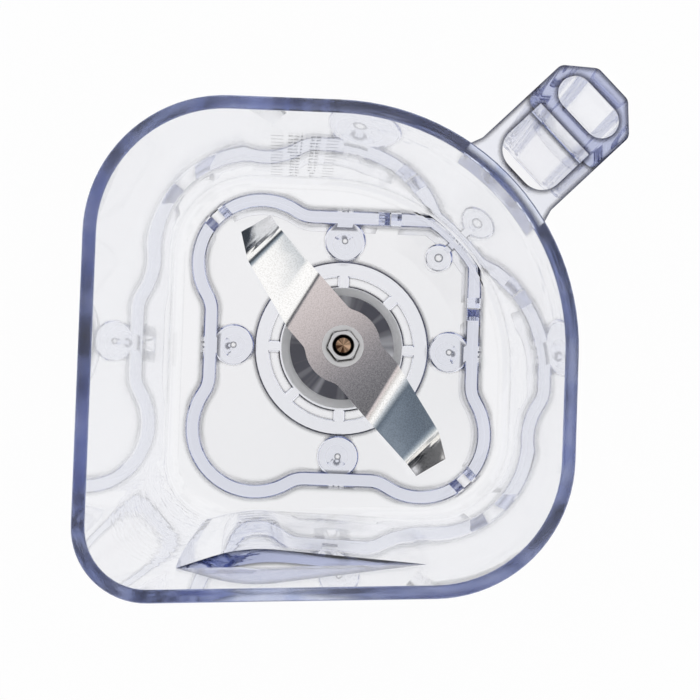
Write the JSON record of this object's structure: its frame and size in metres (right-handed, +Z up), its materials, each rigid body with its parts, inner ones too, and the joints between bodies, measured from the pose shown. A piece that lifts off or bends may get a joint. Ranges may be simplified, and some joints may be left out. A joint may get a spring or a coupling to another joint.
{
  "type": "blender jar",
  "caption": "Clear square blender jar with a pouring corner, a hollow upright grip on the opposite corner, a flow ledge in the front wall and a winged blade on a sealed spindle.",
  "frame": {"origin": "on the drive axis, in the plane that the base skirt stands on", "axes": "+Z up along the drive axis; X and Y square to the jar's sides, with the handle on the +X +Y corner and the pouring corner at -X -Y"},
  "size_m": [0.163, 0.1659, 0.218],
  "materials": {
    "clear_polycarbonate": "clear, moulded gloss",
    "white_silicone": "matt",
    "turned_stainless": "turned",
    "blade_stainless": "brushed",
    "coppered_steel": "copper-brown",
    "bearing_steel": "ground",
    "black_rubber": "matt",
    "black_spring_steel": "phosphated",
    "cage_nylon": "moulded"
  },
  "bodies": {
    "jar": {"jar_body": "clear_polycarbonate", "flange_gasket": "white_silicone", "bearing_housing": "turned_stainless", "housing_washer": "turned_stainless", "retaining_nut": "turned_stainless", "shaft_seal": "black_rubber", "upper_outer_race": "bearing_steel", "lower_outer_race": "bearing_steel", "outer_spacer": "turned_stainless", "bore_snap_ring": "black_spring_steel"},
    "cutter": {"spindle": "coppered_steel", "blade": "blade_stainless", "blade_washer": "turned_stainless", "blade_nut": "turned_stainless", "upper_inner_race": "bearing_steel", "lower_inner_race": "bearing_steel", "inner_spacer": "turned_stainless", "shaft_snap_ring": "black_spring_steel", "drive_coupling": "turned_stainless"},
    "upper_ball_set": {"upper_balls": "bearing_steel", "upper_cage": "cage_nylon"},
    "lower_ball_set": {"lower_balls": "bearing_steel", "lower_cage": "cage_nylon"}
  },
  "joints": [
    {"name": "blade_spin", "type": "hinge", "parent": "jar", "child": "cutter", "pos_m": [0, 0, 0.04], "axis": [0, 0, 1], "continuous": true},
    {"name": "upper_ball_orbit", "type": "hinge", "parent": "jar", "child": "upper_ball_set", "pos_m": [0, 0, 0.0365], "axis": [0, 0, 1], "continuous": true},
    {"name": "lower_ball_orbit", "type": "hinge", "parent": "jar", "child": "lower_ball_set", "pos_m": [0, 0, 0.0215], "axis": [0, 0, 1], "continuous": true}
  ],
  "couplings": [
    {"joint": "upper_ball_orbit", "follows": "blade_spin", "ratio": 0.3677},
    {"joint": "lower_ball_orbit", "follows": "blade_spin", "ratio": 0.3677}
  ]
}
